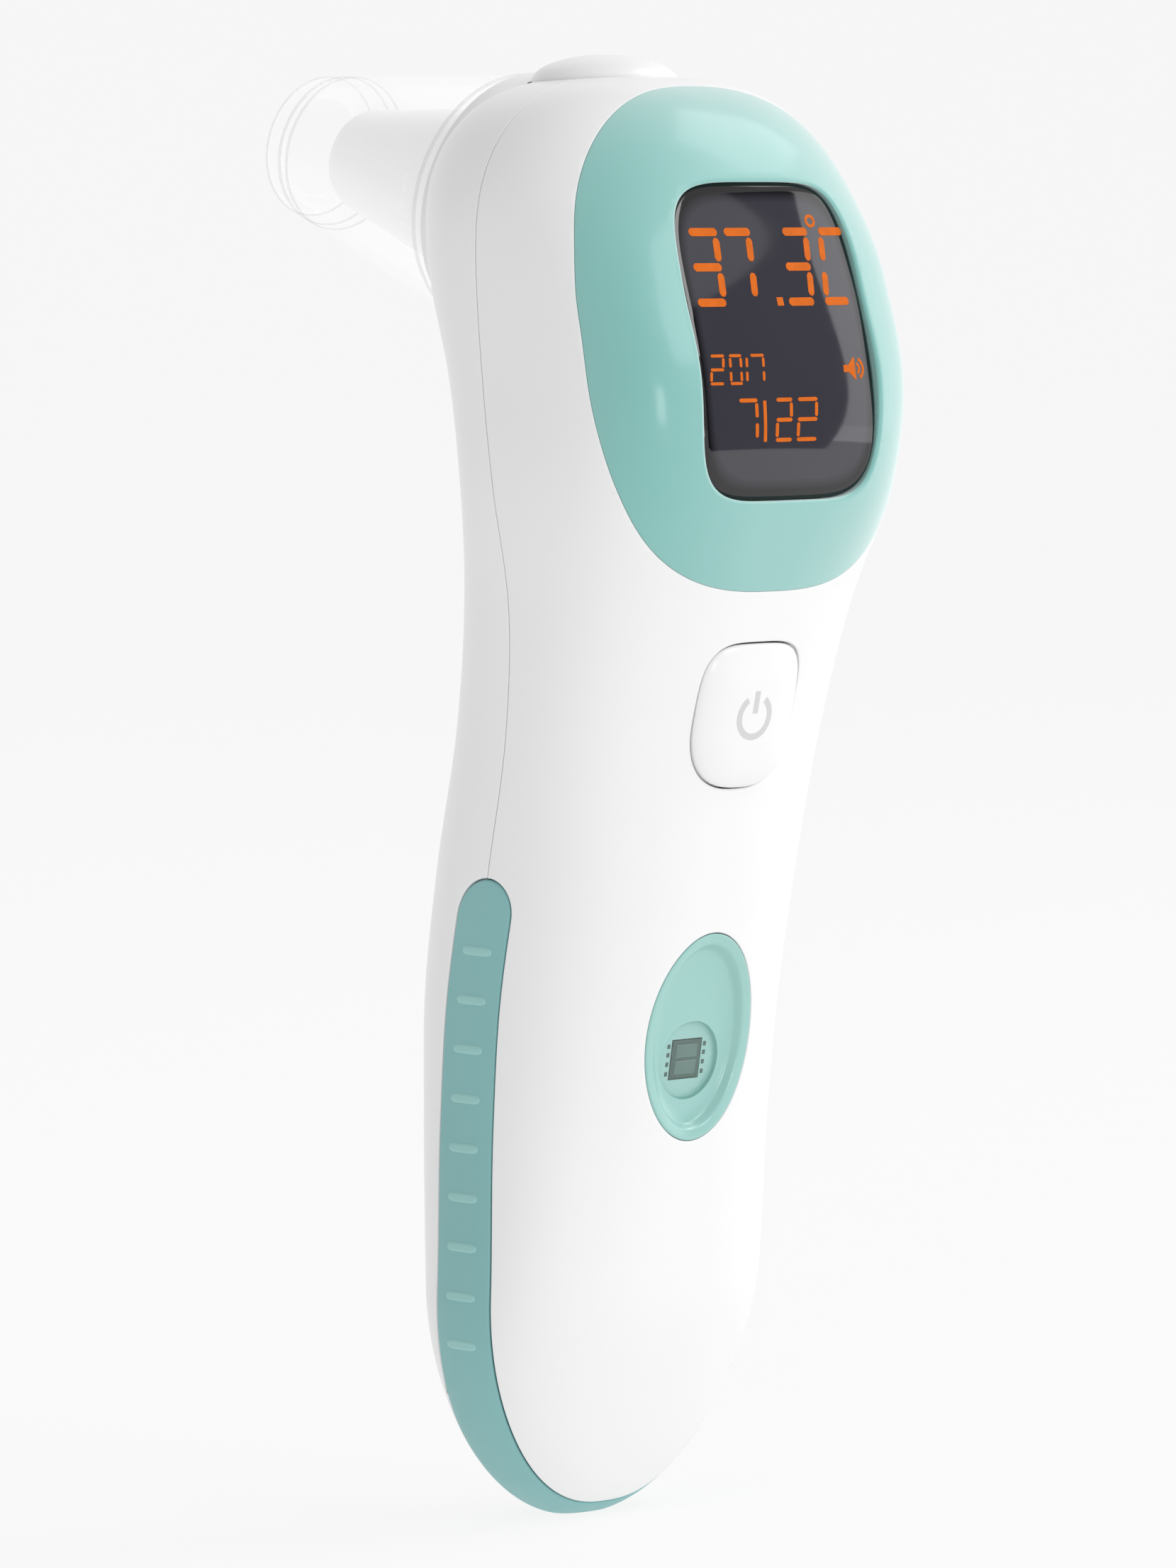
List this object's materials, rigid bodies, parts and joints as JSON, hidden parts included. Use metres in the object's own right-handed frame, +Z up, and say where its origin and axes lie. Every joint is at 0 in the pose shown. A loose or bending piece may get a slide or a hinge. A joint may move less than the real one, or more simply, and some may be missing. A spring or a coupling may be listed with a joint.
{
  "type": "digital ear thermometer",
  "caption": "Hand-held ear thermometer with a tilted probe under a clear cap, a display head, push buttons, a fingertip pulse dish and a banded handle.",
  "frame": {"origin": "middle of the small flat under the handle, on the side band", "axes": "+Z up the handle to the head, -Y out of the display, +Y along the probe, X = 0 the plane of symmetry"},
  "size_m": [0.0448, 0.0737, 0.1503],
  "materials": {
    "white_shell": "satin moulded",
    "teal_bezel": "smooth satin gloss",
    "teal_band": "satin, ribbed",
    "smoked_lens": "polished, dark",
    "clear_plastic": "clear, polished",
    "lcd_glass": "dark glass",
    "light_guide": "milky",
    "rubber_strip": "matt",
    "black_plastic": "fine texture",
    "circuit_board": "solder mask",
    "flex_film": "amber film",
    "red_wire": "insulated wire",
    "black_wire": "insulated wire",
    "steel": "nickel plated",
    "brass_tube": "polished bore",
    "aluminium_block": "turned",
    "cell_wrap": "printed sleeve with no lettering"
  },
  "bodies": {
    "housing": {"front_shell": "white_shell", "rear_shell": "white_shell", "ear_probe": "white_shell", "display_bezel": "teal_bezel", "finger_dish": "teal_bezel", "side_band": "teal_band", "display_lens": "smoked_lens", "probe_window": "smoked_lens", "sensor_window": "clear_plastic", "lcd_panel": "lcd_glass", "lcd_backlight": "light_guide", "lcd_contact_strip": "rubber_strip", "lcd_frame": "black_plastic", "microcontroller": "black_plastic", "memory_chip": "black_plastic", "speaker": "black_plastic", "front_tact_switch": "black_plastic", "top_tact_switch": "black_plastic", "pulse_sensor_chip": "black_plastic", "battery_tray": "black_plastic", "main_pcb": "circuit_board", "top_switch_board": "circuit_board", "sensor_board": "circuit_board", "sensor_flex": "flex_film", "battery_lead_plus": "red_wire", "battery_lead_minus": "black_wire", "crystal": "steel", "thermopile_sensor": "steel", "battery_spring_1": "steel", "battery_spring_2": "steel", "contact_plate_bottom": "steel", "contact_plate_plus": "steel", "contact_plate_minus": "steel", "screw_1": "steel", "screw_2": "steel", "screw_3": "steel", "screw_4": "steel", "waveguide_tube": "brass_tube", "sensor_block": "aluminium_block", "battery_1": "cell_wrap", "battery_2": "cell_wrap"},
    "front_button": {"power_button": "white_shell"},
    "top_button": {"scan_button": "white_shell"},
    "cap": {"probe_cap": "clear_plastic"},
    "cover": {"battery_cover": "white_shell"}
  },
  "joints": [
    {"name": "front_button_press", "type": "slide", "parent": "housing", "child": "front_button", "axis": [0, 1, 0], "range_m": [0, 0.0006], "stiffness_N_per_m": 1500},
    {"name": "top_button_press", "type": "slide", "parent": "housing", "child": "top_button", "axis": [0, 0, -1], "range_m": [0, 0.0008], "stiffness_N_per_m": 1500},
    {"name": "cap_pull", "type": "slide", "parent": "housing", "child": "cap", "axis": [0, 0.9816, 0.1908], "range_m": [0, 0.045]},
    {"name": "cover_lift", "type": "slide", "parent": "housing", "child": "cover", "axis": [0, 1, 0], "range_m": [0, 0.03]}
  ]
}
